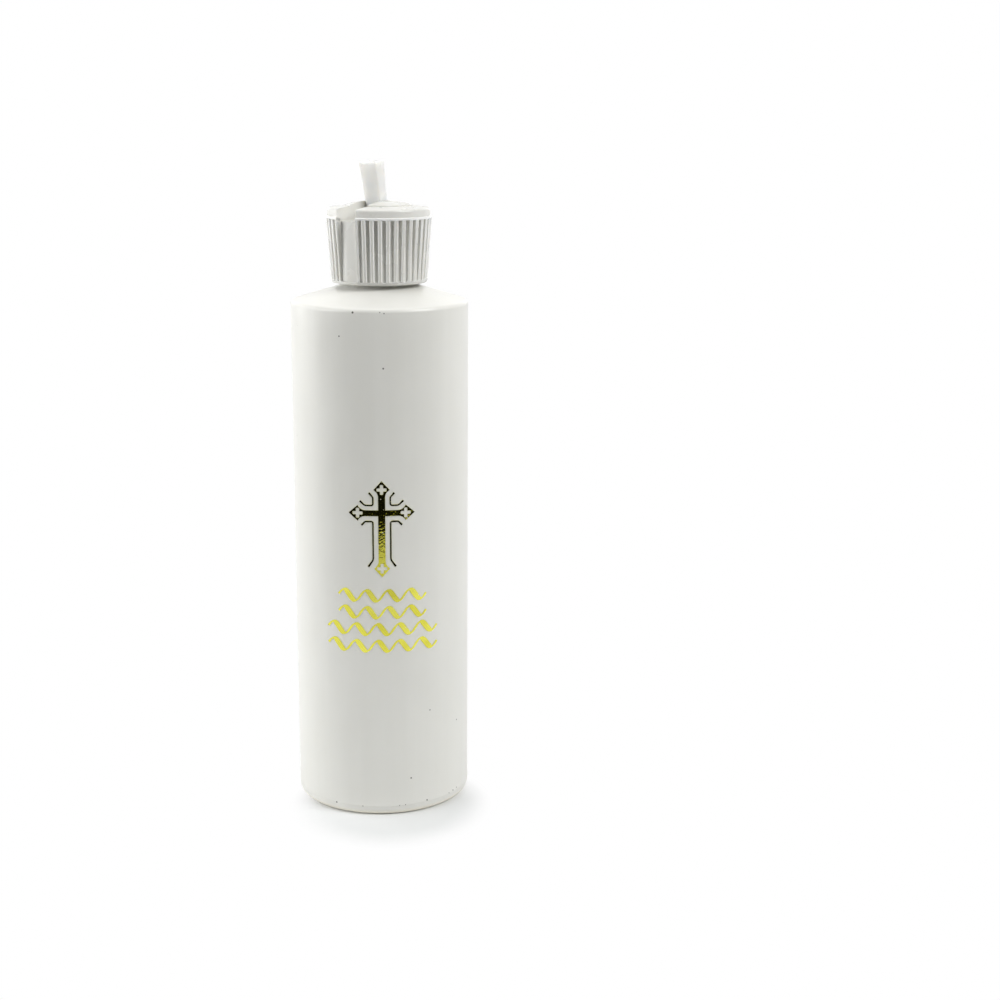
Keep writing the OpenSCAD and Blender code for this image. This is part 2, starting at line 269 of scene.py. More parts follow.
world.use_nodes = True
world.node_tree.nodes.clear()
net = Net(world.node_tree)
fill = net.add("ShaderNodeBackground", {"Color": FILL_COLOUR, "Strength": FILL}).outputs[0]
ground = net.add("ShaderNodeBackground", {"Color": WHITE, "Strength": 1.0}).outputs[0]
both = net.add("ShaderNodeMixShader", {0: seen_rays(net), 1: fill, 2: ground}).outputs[0]
net.add("ShaderNodeOutputWorld", {"Surface": both})
world.cycles.sampling_method = "NONE"
scene.world = world
scene.view_settings.view_transform = "Standard"
for name, (at, target, size, power) in LAMPS.items():
    lamp = bpy.data.objects.new(name, bpy.data.lights.new(name, "AREA"))
    lamp.data.shape = "SQUARE"
    lamp.data.size = size
    lamp.data.energy = power
    lamp.location = at
    lamp.rotation_euler = (Vector(target) - Vector(at)).to_track_quat("-Z", "Y").to_euler()
    lamp.visible_camera = False
    scene.collection.objects.link(lamp)
print("lamps", sorted(LAMPS))

# %% [markdown]
# White plastics
# The body is blown polyethylene: a soft white with faint vertical streaks from the blowing, a fine grain
# as from blasted sand and dark specks caught in the wall. Its heel is painted lighter and warmer: painted
# light that lifts the shade at the foot. The cap and the spout are injection moulded, smoother, and a
# little different in tone. Painted images could show this, but they blur close up. Noise nodes stay
# sharp, so all three plastics share one recipe of them with their own numbers. It reads Object
# coordinates, so the pattern stays on the piece when it moves. A Bevel node softens the light along the
# edges that are cut sharp.

# %% Finish helpers
BODY_R = 25.0


def new_finish(name):
    """A material, its tree's helper, its shader's inputs and the place on the piece."""
    material = bpy.data.materials.new(name)
    material.use_nodes = True
    net = Net(material.node_tree)
    return material, net, material.node_tree.nodes["Principled BSDF"].inputs, net.place()


def speck_field(net, place, specks):
    """Smallest distance to the listed specks, counted in each speck's own radius."""
    nearest = None
    for turn, height, radius in specks:
        turn = math.radians(turn)
        spot = (BODY_R * math.sin(turn) * MM, -BODY_R * math.cos(turn) * MM, height * MM)
        far = net.add("ShaderNodeVectorMath", {0: place, 1: spot}, operation="DISTANCE").outputs["Value"]
        count = net.math("DIVIDE", far, radius * MM)
        nearest = count if nearest is None else net.math("MINIMUM", nearest, count)
    return nearest


print("finish helpers ready")

# %% Plastic recipe
# Noise scales are in cells per metre, and flecks in millimetres.
STREAKS, CLOUDS, SMUDGES, RIPPLES, SAND = 260.0, 45.0, 90.0, 60.0, 2600.0
DRAWN_OUT = (1.0, 1.0, 0.05)
DIRT = rgb(0.09, 0.085, 0.07)
FLECK_CORE, FLECK_RIM = 0.12, 0.24
SPECK_CORE = 0.35
SMUDGE_HIGH, SMOOTHER, ROUGHER = 0.75, 0.05, 0.07
PLASTIC_IOR = 1.52
LIGHT_REACH = (1.0, 0.92, 0.8)


def plastic(
    name, light, dark, roughness, grain, ripple, speck_scale, edge, milky, reach, specks=(), heel=None
):
    """A white plastic. Grain, ripple, edge and reach are in millimetres. Milky is the light let in."""
    material, net, shader, place = new_finish(name)
    drawn_out = net.add("ShaderNodeMapping", {"Vector": place, "Scale": DRAWN_OUT}).outputs[0]
    tone = net.times(net.plus(net.noise(drawn_out, STREAKS, 3.0), net.noise(place, CLOUDS, 3.0)), 0.5)
    colour = net.blend(net.ramp(tone, NOISE_LOW, NOISE_HIGH), rgb(*dark), rgb(*light))
    # Towards the foot the colour turns lighter and warmer: painted light against the shade near the table.
    if heel:
        low, high, most, wear_and_painted_light = heel
        colour = net.blend(net.ramp(net.split(place)[2], low * MM, high * MM, most, 0.0), colour, wear_and_painted_light)
    dots = net.add("ShaderNodeTexVoronoi", {"Vector": place, "Scale": speck_scale}).outputs
    unit = MM * speck_scale
    spread = net.ramp(dots["Distance"], FLECK_CORE * unit, FLECK_RIM * unit, 1.0, 0.0)
    fleck = net.times(spread, net.split(dots["Color"])[0])
    if specks:
        marked = net.ramp(speck_field(net, place, specks), SPECK_CORE, 1.0, 1.0, 0.0)
        fleck = net.math("MAXIMUM", fleck, marked)
    net.feed(shader["Base Color"], net.blend(fleck, colour, DIRT))
    smudge = net.noise(place, SMUDGES, 4.0)
    smudged = net.ramp(smudge, NOISE_LOW, SMUDGE_HIGH, roughness - SMOOTHER, roughness + ROUGHER)
    net.feed(shader["Roughness"], smudged)
    soft = net.add("ShaderNodeBevel", {"Radius": edge * MM}, samples=4).outputs[0]
    rippled = net.bump(ripple, net.noise(place, RIPPLES, 1.0), soft)
    net.feed(shader["Normal"], net.bump(grain, net.noise(place, SAND, 2.0), rippled))
    shader["IOR"].default_value = PLASTIC_IOR
    shader["Subsurface Weight"].default_value = milky
    shader["Subsurface Radius"].default_value = LIGHT_REACH
    shader["Subsurface Scale"].default_value = reach * MM
    return material


print("plastic recipe ready")

# %% Plastics
# Each speck has its turn from the front in degrees, its height and its radius.
WALL_SPECKS = [
    (-17, 144.6, 0.42),
    (0, 144.7, 0.22),
    (2.6, 144.4, 0.24),
    (-26.3, 138, 0.3),
    (1.8, 129.5, 0.34),
    (32, 30.4, 0.26),
    (58, 24.4, 0.28),
    (18, 10.8, 0.34),
    (-33.3, 2.7, 0.36),
    (-14.3, 2.7, 0.22),
    (29.5, 3.1, 0.34),
    (10, 2.8, 0.2),
    (14, 2.85, 0.22),
    (49, 2.9, 0.22),
    (53.5, 3.1, 0.3),
    (58, 3.3, 0.24),
]
# The heel is painted lighter and warmer, most below the first height and not at all above the second:
# painted light that lifts the shade at the foot.
HEEL_PAINTED_LIGHT = (0.6, 1.9, 0.9, rgb(0.96, 0.91, 0.79))
blown_white = plastic(
    "blown_white",
    light=(0.815, 0.810, 0.765),
    dark=(0.79, 0.785, 0.738),
    roughness=0.33,
    grain=0.005,
    ripple=0.05,
    speck_scale=115.0,
    edge=0.05,
    milky=0.12,
    reach=1.2,
    specks=WALL_SPECKS,
    heel=HEEL_PAINTED_LIGHT,
)
cap_white = plastic(
    "cap_white",
    light=(0.76, 0.755, 0.718),
    dark=(0.735, 0.73, 0.69),
    roughness=0.26,
    grain=0.003,
    ripple=0.004,
    speck_scale=140.0,
    edge=0.06,
    milky=0.25,
    reach=0.5,
)
spout_white = plastic(
    "spout_white",
    light=(0.92, 0.91, 0.87),
    dark=(0.90, 0.89, 0.85),
    roughness=0.26,
    grain=0.002,
    ripple=0.01,
    speck_scale=90.0,
    edge=0.2,
    milky=0.8,
    reach=3.0,
)
print("plastics", blown_white.name, cap_white.name, spout_white.name)

# %% [markdown]
# Gold foil and the sealing washer
# Hot foil is a film of metal pressed on the plastic. It takes over the fine grain of the wall under it,
# so it mirrors the room in small flecks and not as one clean picture. In a few places it hasn't taken,
# and the plastic shows. A yellow paint would look the same from all sides, so this is a metal shader on a
# fine bump, which goes from gold to black as the real film does. The thin strokes beside the cross sink
# in at a slant and mirror the dark room over the table's edge. The washer is a ring of white foam. The
# CAD shapes of all these are right as they are, and only get their finish.

# %% Foil
GOLD_DEEP, GOLD_PALE = rgb(0.66, 0.62, 0.07), rgb(0.78, 0.75, 0.115)
BARE_WALL = rgb(0.72, 0.70, 0.62)
GOLD_CLOUDS, WORN_SPOTS, GOLD_HAZE, FOIL_GRAIN = 180.0, 900.0, 700.0, 1700.0
WORN_FROM, WORN_FULL = 0.70, 0.74
GLOSSY, HAZY = 0.02, 0.06
FOIL_RELIEF = 0.016
STROKE_TILT = 0.05


def stamped_foil(name, tilt):
    """Gold film. A tilt tips its mirror upwards, as on fine strokes that are pressed in at a slant."""
    material, net, shader, place = new_finish(name)
    paler = net.ramp(net.noise(place, GOLD_CLOUDS, 3.0), NOISE_LOW, NOISE_HIGH)
    gold = net.blend(paler, GOLD_DEEP, GOLD_PALE)
    wear_and_painted_light = net.ramp(net.noise(place, WORN_SPOTS, 3.0), WORN_FROM, WORN_FULL)
    haze = net.ramp(net.noise(place, GOLD_HAZE, 2.0), NOISE_LOW, NOISE_HIGH, GLOSSY, HAZY)
    net.feed(shader["Base Color"], net.blend(wear_and_painted_light, gold, BARE_WALL))
    net.feed(shader["Metallic"], net.minus(1.0, wear_and_painted_light))
    net.feed(shader["Roughness"], haze)
    facing = net.add("ShaderNodeNewGeometry").outputs["Normal"]
    tipped = net.add("ShaderNodeVectorMath", {0: facing, 1: (0.0, 0.0, tilt)}, operation="ADD").outputs[0]
    tipped = net.add("ShaderNodeVectorMath", {0: tipped}, operation="NORMALIZE").outputs[0]
    net.feed(shader["Normal"], net.bump(FOIL_RELIEF, net.noise(place, FOIL_GRAIN, 1.0), tipped))
    return material


foil = stamped_foil("stamped_gold", 0.0)
fine_foil = stamped_foil("stamped_gold_lines", STROKE_TILT)
print("foils", foil.name, fine_foil.name)

# %% Washer
FOAM_DARK, FOAM_PALE = rgb(0.74, 0.73, 0.69), rgb(0.84, 0.83, 0.80)
FOAM_CELLS, PORE_RELIEF = 2200.0, 0.03
FOAM_SMOOTH, FOAM_ROUGH = 0.7, 0.85
foam, net, shader, place = new_finish("washer_foam")
cells = net.add("ShaderNodeTexVoronoi", {"Vector": place, "Scale": FOAM_CELLS}).outputs["Distance"]
net.feed(shader["Base Color"], net.blend(cells, FOAM_DARK, FOAM_PALE))
net.feed(shader["Roughness"], net.ramp(cells, 0.0, 1.0, FOAM_SMOOTH, FOAM_ROUGH))
net.feed(shader["Normal"], net.bump(PORE_RELIEF, cells))
FINISHES = {"foil_cross": foil, "foil_border": fine_foil, "foil_waves": foil, "neck_seal": foam}
for node, finish in FINISHES.items():
    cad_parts[node].data.materials.clear()
    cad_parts[node].data.materials.append(finish)
print("finished", sorted(FINISHES))

# %% [markdown]
# Turned pieces
# The bottle and the cap are turned shapes: one outline, swung round the axis. Blender's Screw modifier
# turns an outline too, but it can't raise the mould's seams. The mould of a blown bottle opens in two
# halves, and where they meet a fine raised seam runs down both sides. So a node tree does the turning. It
# lays a grid, reads the outline's point for each row, and rolls the columns round. It crowds its columns
# at the seams, so they are real relief. The outline's Y carries how far the seam stands out at each
# point.


# %% Outlines with rounded corners
def rounded(corners, steps):
    """Points along a closed outline of (x, z, rounding) corners."""
    points = []
    for i, (x, z, radius) in enumerate(corners):
        at = Vector((x, z))
        if radius == 0:
            points.append(at)
            continue
        before = (Vector(corners[i - 1][:2]) - at).normalized()
        after = (Vector(corners[(i + 1) % len(corners)][:2]) - at).normalized()
        half = before.angle(after) / 2
        middle = at + (before + after).normalized() * (radius / math.sin(half))
        start = at + before * (radius / math.tan(half)) - middle
        end = at + after * (radius / math.tan(half)) - middle
        sweep = math.pi - 2 * half
        for step in range(steps + 1):
            t = step / steps
            swung = math.sin((1 - t) * sweep) * start + math.sin(t * sweep) * end
            points.append(middle + swung / math.sin(sweep))
    return points


def outline_mesh(name, points, flags=None):
    """A chain of edges in the XZ plane, with a flag kept in Y."""
    mesh = bpy.data.meshes.new(name)
    flags = flags or [0.0] * len(points)
    places = [(x * MM, flag * MM, z * MM) for (x, z), flag in zip(points, flags)]
    mesh.from_pydata(places, [(i, i + 1) for i in range(len(places) - 1)], [])
    return mesh


print("outline helpers ready")


# %% Tree helpers
def new_tree(name, inputs):
    """A geometry tree with a source geometry, named inputs and one geometry out."""
    tree = bpy.data.node_groups.new(name, "GeometryNodeTree")
    tree.interface.new_socket("Source", in_out="INPUT", socket_type="NodeSocketGeometry")
    for title, kind in inputs:
        tree.interface.new_socket(title, in_out="INPUT", socket_type="NodeSocket" + kind)
    tree.interface.new_socket("Geometry", in_out="OUTPUT", socket_type="NodeSocketGeometry")
    net = Net(tree)
    return tree, net, net.add("NodeGroupInput").outputs


def end_tree(net, geometry, finish):
    """Makes copies real, sets the finish and gives the result out."""
    whole = net.add("GeometryNodeRealizeInstances", {"Geometry": geometry}).outputs[0]
    painted = net.add("GeometryNodeSetMaterial", {"Geometry": whole, "Material": finish}).outputs[0]
    net.add("NodeGroupOutput", {0: painted})


print("tree helpers ready")

# %% Turning tree
CLOSING = 1e-6
titles = [("Columns", "Int"), ("Crowding", "Float"), ("Seam width", "Float"), ("Finish", "Material")]
turning, net, given = new_tree("turned_outline", titles)
counted = net.add("GeometryNodeAttributeDomainSize", {0: given["Source"]}, component="MESH")
rows = counted.outputs["Point Count"]
lattice = {"Size X": 1.0, "Size Y": 1.0, "Vertices X": net.plus(given["Columns"], 1.0), "Vertices Y": rows}
grid = net.add("GeometryNodeMeshGrid", lattice).outputs["Mesh"]
place = net.add("GeometryNodeInputPosition").outputs[0]
across = net.split(place)
lap = net.times(net.plus(across[0], 0.5), math.tau)
row = net.math("ROUND", net.times(net.plus(across[1], 0.5), net.minus(rows, 1.0)))
sample = net.add("GeometryNodeSampleIndex", {"Geometry": given["Source"]}, data_type="FLOAT_VECTOR")
net.feed(sample.inputs["Value"], place)
net.feed(sample.inputs["Index"], row)
outline = net.split(sample.outputs["Value"])
crowd = net.times(net.math("SINE", net.times(lap, 2.0)), net.times(given["Crowding"], 0.5))
turn = net.minus(lap, crowd)
off_seam = net.times(net.math("ABSOLUTE", net.math("SINE", turn)), outline[0])
part = net.math("DIVIDE", off_seam, given["Seam width"])
lift = net.math("SUBTRACT", 1.0, net.times(part, part), clamp=True)
rolled = net.round_axis(net.plus(outline[0], net.times(lift, outline[1])), turn, outline[2])
turned = net.add("GeometryNodeSetPosition", {"Geometry": grid, "Position": rolled}).outputs[0]
closed = net.add("GeometryNodeMergeByDistance", {"Geometry": turned, "Distance": CLOSING}).outputs[0]
end_tree(net, closed, given["Finish"])
print("tree", turning.name, len(turning.nodes), "nodes")

# %% From trees to plain meshes
DOUBLES = 0.5e-6


def settle(piece):
    """Makes a piece's modifiers real and clears them."""
    view = bpy.context.evaluated_depsgraph_get()
    mesh = bpy.data.meshes.new_from_object(piece.evaluated_get(view))
    piece.modifiers.clear()
    piece.data = mesh
    return piece


def grow(name, source, tree, values):
    """Runs a tree on a source mesh and keeps the result as a plain mesh."""
    piece = place_mesh(name, source)
    modifier = piece.modifiers.new("rule", "NODES")
    modifier.node_group = tree
    for item in tree.interface.items_tree:
        if item.in_out == "INPUT" and item.name in values:
            modifier[item.identifier] = values[item.name]
    return settle(piece)


def outward(piece):
    """Merges doubles and turns all faces outwards."""
    work = bmesh.new()
    work.from_mesh(piece.data)
    bmesh.ops.remove_doubles(work, verts=work.verts, dist=DOUBLES)
    bmesh.ops.recalc_face_normals(work, faces=work.faces)
    work.to_mesh(piece.data)
    work.free()
    return piece


print("mesh helpers ready")

# %% Joined and lofted meshes
SHARP = math.radians(32)


def worked(name, work):
    """An object from a finished work mesh."""
    mesh = bpy.data.meshes.new(name)
    work.to_mesh(mesh)
    work.free()
    return place_mesh(name, mesh)


def joined(name, pieces, finish):
    """One mesh object from several, smooth but for its sharp edges."""
    work = bmesh.new()
    for piece in pieces:
        work.from_mesh(piece.data)
        bpy.data.objects.remove(piece)
    made = worked(name, work)
    mesh = made.data
    for polygon in mesh.polygons:
        polygon.material_index = 0
    mesh.materials.append(finish)
    mesh.shade_smooth()
    mesh.set_sharp_from_angle(angle=SHARP)
    print(name, len(mesh.polygons), "faces")
    return made


def lofted(name, loops):
    """A closed mesh through loops of points in millimetres, one after the other."""
    count = len(loops[0])
    last = (len(loops) - 1) * count
    faces = [
        [i + k, i + (k + 1) % count, i + count + (k + 1) % count, i + count + k]
        for i in range(0, last, count)
        for k in range(count)
    ]
    faces += [list(range(count))[::-1], [last + k for k in range(count)]]
    mesh = bpy.data.meshes.new(name)
    mesh.from_pydata([(x * MM, y * MM, z * MM) for loop in loops for x, y, z in loop], [], faces)
    return mesh


print("joining and lofting ready")

# %% [markdown]
# Screw threads
# A thread is a bar that follows a helix. A Screw modifier could wind it, but its ends would stop short as
# if sawn off. A second tree lays points along the helix, turns them into a curve and sweeps the bar's
# section along it. The section shrinks towards both ends, so the thread runs out into the wall as a
# moulded one does. The same tree makes the thread on the neck and the one inside the cap.

# %% Thread tree
STEPS_A_TURN = 48.0
RUN_OUT, END_SIZE = 0.1, 0.25
titles = [(title, "Float") for title in ("Radius", "Low", "Start", "Turns", "Pitch")]
threading, net, given = new_tree("thread_on_helix", titles + [("Finish", "Material")])
steps = net.math("ROUND", net.times(given["Turns"], STEPS_A_TURN))
line = net.add("GeometryNodeMeshLine", {"Count": net.plus(steps, 1.0)}).outputs[0]
share = net.math("DIVIDE", net.add("GeometryNodeInputIndex").outputs[0], steps)
lap = net.plus(given["Start"], net.times(net.times(share, given["Turns"]), math.tau))
climb = net.plus(given["Low"], net.times(lap, net.math("DIVIDE", given["Pitch"], math.tau)))
spot = net.round_axis(given["Radius"], lap, climb)
helix = net.add("GeometryNodeSetPosition", {"Geometry": line, "Position": spot}).outputs[0]
helix = net.add("GeometryNodeMeshToCurve", {0: helix}).outputs[0]
helix = net.add("GeometryNodeSetCurveNormal", {"Curve": helix}, mode="Z_UP").outputs[0]
along = net.add("GeometryNodeSplineParameter").outputs["Factor"]
from_end = net.math("MINIMUM", along, net.minus(1.0, along))
size = net.ramp(from_end, 0.0, RUN_OUT, END_SIZE, 1.0)
section = net.add("GeometryNodeMeshToCurve", {0: given["Source"]}).outputs[0]
sweeping = {"Curve": helix, "Profile Curve": section, "Scale": size, "Fill Caps": True}
swept = net.add("GeometryNodeCurveToMesh", sweeping).outputs[0]
end_tree(net, swept, given["Finish"])
print("tree", threading.name, len(threading.nodes), "nodes")

# %% Threads
NECK_R, CREST_R, BORE_R, NECK_TOP = 10.8, 11.85, 8.7, 166.1
PITCH_UP, TURNS, THREAD_W, FLANK = 3.175, 1.5, 1.7, 0.43
ROOT_IN, CREST_DROP, CREST_IN = 0.3, 0.18, 0.16
PLAY, PLAY_UP, PLAIN_RIM = 0.3, 0.22, 2.2
THREAD_LOW = NECK_TOP - PLAIN_RIM - PITCH_UP * TURNS
CAP_WALL_R = CREST_R + PLAY
CAP_THREAD_LOW = THREAD_LOW - (THREAD_W - FLANK * (CREST_R - NECK_R + PLAY) + PLAY_UP)


def thread(name, wall, crest, low, start, finish):
    """A thread with sloped flanks and a crest that is rounded over, from inside its wall to its crest."""
    sign = 1 if crest > wall else -1
    deep = abs(crest - wall)
    wide = THREAD_W / 2 + FLANK * ROOT_IN
    narrow = THREAD_W / 2 - FLANK * deep
    half = [
        (0.0, wide),
        ((deep + ROOT_IN - CREST_DROP) * sign, narrow + FLANK * CREST_DROP),
        ((deep + ROOT_IN) * sign, narrow - CREST_IN),
    ]
    points = half + [(x, -y) for x, y in reversed(half)]
    ring = [(i, (i + 1) % len(points)) for i in range(len(points))]
    mesh = bpy.data.meshes.new(name)
    mesh.from_pydata([(x * MM, y * MM, 0) for x, y in points], ring, [])
    values = {"Radius": (wall - ROOT_IN * sign) * MM, "Low": low * MM, "Start": start}
    values |= {"Turns": TURNS, "Pitch": PITCH_UP * MM, "Finish": finish}
    return outward(grow(name, mesh, threading, values))


neck_thread = thread("neck_thread", NECK_R, CREST_R, THREAD_LOW, 0.0, blown_white)
cap_thread = thread("cap_thread", CAP_WALL_R, NECK_R + PLAY, CAP_THREAD_LOW, -math.pi, cap_white)
for made in (neck_thread, cap_thread):
    radii = [math.hypot(v.co.x, v.co.y) / MM for v in made.data.vertices]
    print(made.name, "radius", round(min(radii), 2), round(max(radii), 2))

# %% [markdown]
# The blown bottle
# Its outline runs from the middle of the hollow base out over the standing ring and the heel, up the
# straight side, over the shoulder to the neck, and back down inside. A Solidify modifier could give the
# wall, but the neck is thicker than the rest, so both sides are drawn. Just above the heel a fine ridge
# shows where the base plate of the mould met its sides. Under the base the blown tube was pinched off,
# which leaves a scar.

# %% Bottle outline
SIDE_H, NECK_FOOT = 145.4, 149.4
WALL, HEEL_R, EDGE_R, RING_W = 1.0, 1.8, 1.3, 3.2
PUSH_UP, PUSH_RUN, PUSH_RUN_IN = 3.0, 5.0, 4.6
RIDGE, RIDGE_TOP, SIDE_STEP, SIDE_ROWS = 0.05, 3.1, 5.0, 27
SEAM, SEAM_W, SEAM_CROWDING = 0.05, 0.22, 0.9
NECK_SEAM_R = BORE_R + 1.6
FOOT_IN = BODY_R - HEEL_R - RING_W
slope = math.atan((NECK_FOOT - SIDE_H) / (BODY_R - CREST_R))
in_r = BODY_R - WALL
in_edge = SIDE_H - WALL / math.cos(slope) + WALL * math.tan(slope)
# A corner of an outline has its radius, its height and its rounding.
outer = [
    (0.0, PUSH_UP, 0),
    (FOOT_IN - PUSH_RUN, PUSH_UP, 6),
    (FOOT_IN, 0.0, 0.8),
    (BODY_R, 0.0, HEEL_R),
    (BODY_R, RIDGE_TOP - 0.55, 0),
    (BODY_R + RIDGE, RIDGE_TOP - 0.4, 0),
    (BODY_R + RIDGE, RIDGE_TOP - 0.15, 0),
    (BODY_R, RIDGE_TOP, 0),
    *[(BODY_R, RIDGE_TOP + SIDE_STEP * (i + 1), 0) for i in range(SIDE_ROWS)],
    (BODY_R, SIDE_H, EDGE_R),
    (NECK_R, SIDE_H + (BODY_R - NECK_R) * math.tan(slope), 1.2),
    (NECK_R, NECK_TOP, 0.5),
]
inner = [
    (BORE_R, NECK_TOP, 0.4),
    (BORE_R, in_edge + (in_r - BORE_R) * math.tan(slope), 1.5),
    (in_r, in_edge, 1.0),
    (in_r, WALL, 1.2),
    (FOOT_IN + WALL / 2, WALL, 0.8),
    (FOOT_IN - PUSH_RUN_IN, PUSH_UP + WALL, 5),
    (0.0, PUSH_UP + WALL, 0),
]


def seam_out(x, z):
    """How far the seam stands out: on the outside only, and not under the base."""
    outside = x > in_r + WALL / 2 or z > SIDE_H - WALL / 2
    return SEAM if outside and x > NECK_SEAM_R and z > WALL / 2 else 0.0


points = rounded(outer + inner, steps=7)
seam = [seam_out(x, z) for x, z in points]
print("bottle outline", len(points), "points, seam on", sum(out > 0 for out in seam))

# %% Bottle
PINCH, PINCH_IN, PINCH_EDGE = (18.0, 0.7, 0.7), 0.05, 0.2
blowing = {"Columns": 288, "Crowding": SEAM_CROWDING, "Seam width": SEAM_W * MM, "Finish": blown_white}
shell = outward(grow("shell", outline_mesh("bottle_outline", points, seam), turning, blowing))
work = bmesh.new()
at = Matrix.Translation(Vector((0.0, 0.0, PUSH_UP - PINCH_IN)) * MM)
bmesh.ops.create_cube(work, size=1.0, matrix=at @ Matrix.Diagonal((*[x * MM for x in PINCH], 1)))
bmesh.ops.bevel(work, geom=work.edges, offset=PINCH_EDGE * MM, segments=3, profile=0.5, affect="EDGES")
pinch = worked("pinch", work)
bottle = joined("bottle_body", [shell, neck_thread, pinch], blown_white)

# %% [markdown]
# Ribs of the cap
# The skirt has forty grooves with rounded ends, and what stays between two grooves is a rib. Forty
# booleans could cut the grooves, but they are slow and leave hard edges. So one rib is made as a strip
# with rounded edges, whose sides spread at both ends, where the grooves round off. A third tree then sets
# copies of it round the axis and leaves out the four at the spout's channel. The two beside the thumb
# notch are made by the same rule, a little narrower, so that the channel can be cut from them too.

# %% Cap sizes
DECK, SKIRT, RIB_LOW = 166.7, 150.6, 151.4
LEDGE, BAND, CROWN = DECK + 2.3, DECK + 4.5, DECK + 5.1
DISC, DOME, FLOOR, PIVOT = CROWN + 0.35, CROWN + 1.35, DECK + 1.5, DECK + 3.5
RIB_R_LOW, RIB_R_TOP, BAND_R, DISC_R = 13.55, 14.85, 14.4, 9.0
RIBS, GROOVE_W, GROOVE_LOW, GROOVE_GAIN, GROOVE_CORNER = 40, 1.1, 0.5, 0.75, 0.25
RIM_H, CHANNEL_FROM_FRONT = 0.65, 39.5
RIB_HIGH = LEDGE - RIM_H
CONE_LOW, CONE_HIGH = RIB_LOW - 0.2, LEDGE - 0.15
CHANNEL_TURN = math.radians(-90 - CHANNEL_FROM_FRONT)
pitch = math.tau / RIBS


def skirt_r(z):
    """Radius over the ribs at a height."""
    return RIB_R_LOW + (RIB_R_TOP - RIB_R_LOW) * (z - CONE_LOW) / (CONE_HIGH - CONE_LOW)


def groove_deep(z):
    """Depth of a groove at a height."""
    return GROOVE_LOW + GROOVE_GAIN * (z - RIB_LOW) / (LEDGE - RIB_LOW)


def groove_half(z):
    """Half the width of a groove at a height: half round at its foot, with small corners at its top."""
    half = GROOVE_W / 2
    below = max(RIB_LOW + half - z, 0.0)
    above = max(z - RIB_HIGH + GROOVE_CORNER, 0.0)
    if below > 0:
        return math.sqrt(max(half**2 - below**2, 0.0))
    return half - GROOVE_CORNER + math.sqrt(max(GROOVE_CORNER**2 - above**2, 0.0))


print("skirt radius", round(skirt_r(RIB_LOW), 2), "to", round(skirt_r(RIB_HIGH), 2))
print("groove depth", round(groove_deep(RIB_LOW), 2), "to", round(groove_deep(RIB_HIGH), 2))

# %% Rib strip
RIB_EDGE, RIB_EDGE_TURNS = 0.33, (0.0, 0.31, 0.63, 0.94, 1.26, 1.57)
# The foot of a rib has two points: sideways from its edge, and down from the groove's floor.
RIB_FOOT = ((-0.08, 0.15), (-0.05, -0.12))
RIB_ROOT, RIB_PAST, END_SUNK = 0.4, 0.3, 0.1


def rib_strip(name, half_turn):
    """A rib between two grooves whose centre lines are half_turn to either side of +X."""
    bend = [1 - math.cos(math.radians(15 * i)) for i in range(7)]
    heights = [RIB_LOW + GROOVE_W / 2 * b for b in bend]
    heights += [RIB_LOW + (RIB_HIGH - RIB_LOW) * i / 8 for i in range(1, 8)]
    heights += [RIB_HIGH - GROOVE_CORNER * b for b in reversed(bend)]
    loops = []
    for z in [RIB_LOW - RIB_PAST] + heights + [RIB_HIGH + RIB_PAST]:
        around, deepest = skirt_r(z), groove_deep(z)
        turn = half_turn - groove_half(z) / around
        edge = [(shift, deepest + down) for shift, down in RIB_FOOT]
        edge += [(RIB_EDGE * (1 - math.cos(a)), RIB_EDGE * (1 - math.sin(a))) for a in RIB_EDGE_TURNS]
        left = [(-turn + shift / around, deep) for shift, deep in edge]
        right = [(-a, deep) for a, deep in reversed(left)]
        under = [(a, deepest + RIB_ROOT) for a in (right[-1][0], 0.0, left[0][0])]
        top = around if RIB_LOW <= z <= RIB_HIGH else around - END_SUNK
        section = left + [(0.0, 0.0)] + right + under
        loops.append([((top - deep) * math.cos(a), (top - deep) * math.sin(a), z) for a, deep in section])
    return lofted(name, loops)


rib = rib_strip("rib", pitch / 2)
print("one rib", len(rib.polygons), "faces")

# %% Ribs round the axis
titles = [("Ribs", "Int"), ("Channel turn", "Float"), ("Left clear", "Float"), ("Finish", "Material")]
ribbing, net, given = new_tree("ribs_round_axis", titles)
spots = net.add("GeometryNodePoints", {"Count": given["Ribs"]}).outputs[0]
step = net.math("DIVIDE", math.tau, given["Ribs"])
turn = net.times(net.plus(net.add("GeometryNodeInputIndex").outputs[0], 0.5), step)
shown = net.math("LESS_THAN", net.math("COSINE", turn), net.math("COSINE", given["Left clear"]))
swung = net.vector(0.0, 0.0, net.plus(turn, given["Channel turn"]))
setting = {"Points": spots, "Selection": shown, "Instance": given["Source"], "Rotation": swung}
copies = net.add("GeometryNodeInstanceOnPoints", setting).outputs[0]
end_tree(net, copies, given["Finish"])
ribbed = {"Ribs": RIBS, "Channel turn": CHANNEL_TURN, "Left clear": 2 * pitch, "Finish": cap_white}
ribs = outward(grow("ribs", rib, ribbing, ribbed))
print("ribs", len(ribs.data.polygons), "faces")

# %% Painted highlights on the rib edges
# The colour and bounds of a painted highlight along the rib edges and the rim above them.
EDGE_HIGHLIGHT_PAINT = rgb(0.98, 0.975, 0.95)
CREST_FULL, CREST_GONE = 0.15, 0.35
EDGE_FROM, EDGE_FULL = 0.10, 0.17
RIM_HALF, FOOT_FADE = 0.1, 0.5


